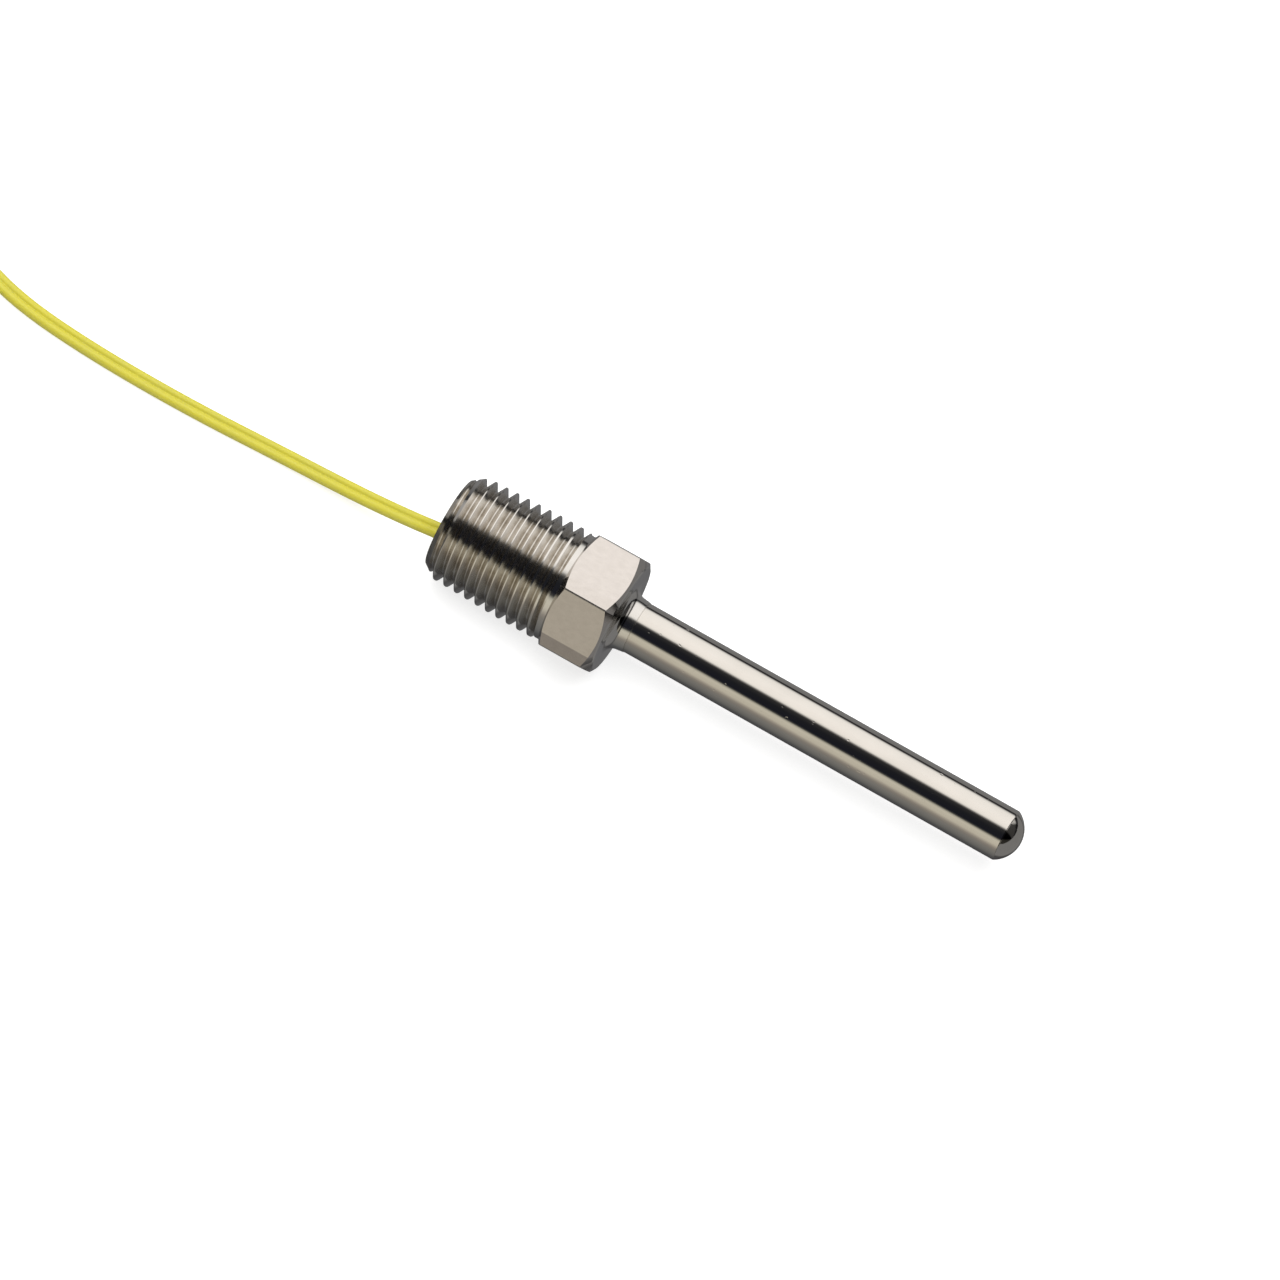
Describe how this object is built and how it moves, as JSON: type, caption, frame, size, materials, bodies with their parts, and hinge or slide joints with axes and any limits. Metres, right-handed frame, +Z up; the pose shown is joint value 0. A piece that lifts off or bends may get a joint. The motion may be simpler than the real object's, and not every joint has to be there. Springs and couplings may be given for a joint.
{
  "type": "thermocouple",
  "caption": "Thermocouple probe with a domed metal sheath brazed into a hex fitting with a taper pipe thread, and a flat twin lead with stripped ends leaving the threaded end.",
  "frame": {"origin": "on the probe's axis, in the plane of the hex face that the sheath comes out of", "axes": "+X along the probe's axis towards the sheath's tip, +Z up with the hex standing on one flat, +Y to the left seen from behind the thread"},
  "size_m": [0.1653, 0.0283, 0.0142],
  "materials": {
    "fitting_steel": "turned and polished stainless",
    "sheath_steel": "bright drawn stainless tube",
    "braze": "thin dull line of filler",
    "element_alloy": "bare nickel alloy wire",
    "insulator_ceramic": "fired, unglazed",
    "cement": "set magnesia cement",
    "splice_metal": "tinned crimp barrel",
    "sleeve": "heat-shrunk sleeve",
    "epoxy": "cast potting, slightly domed and glossy",
    "lead_jacket": "soft extruded yellow insulation",
    "insulation_yellow": "extruded insulation",
    "insulation_red": "extruded insulation",
    "lead_conductor": "bare extension alloy",
    "tie_nylon": "natural nylon"
  },
  "bodies": {
    "root": {"fitting_body": "fitting_steel", "sheath_tube": "sheath_steel", "tip_cap": "sheath_steel", "braze_ring": "braze", "measuring_junction": "element_alloy", "tip_cement": "cement", "sheath_seal": "cement", "potting_plug": "epoxy", "lead_cord": "lead_jacket", "lead_coil": "lead_jacket", "insulator_1": "insulator_ceramic", "insulator_2": "insulator_ceramic", "insulator_3": "insulator_ceramic", "insulator_4": "insulator_ceramic", "coil_tie_1": "tie_nylon", "coil_tie_2": "tie_nylon", "element_wire_positive": "element_alloy", "element_wire_negative": "element_alloy", "splice_positive": "splice_metal", "splice_negative": "splice_metal", "splice_sleeve_positive": "sleeve", "splice_sleeve_negative": "sleeve", "lead_core_positive": "lead_conductor", "lead_core_negative": "lead_conductor", "lead_insulation_positive": "insulation_yellow", "lead_insulation_negative": "insulation_red", "tail_core_positive": "lead_conductor", "tail_core_negative": "lead_conductor", "tail_insulation_positive": "insulation_yellow", "tail_insulation_negative": "insulation_red"}
  },
  "joints": []
}
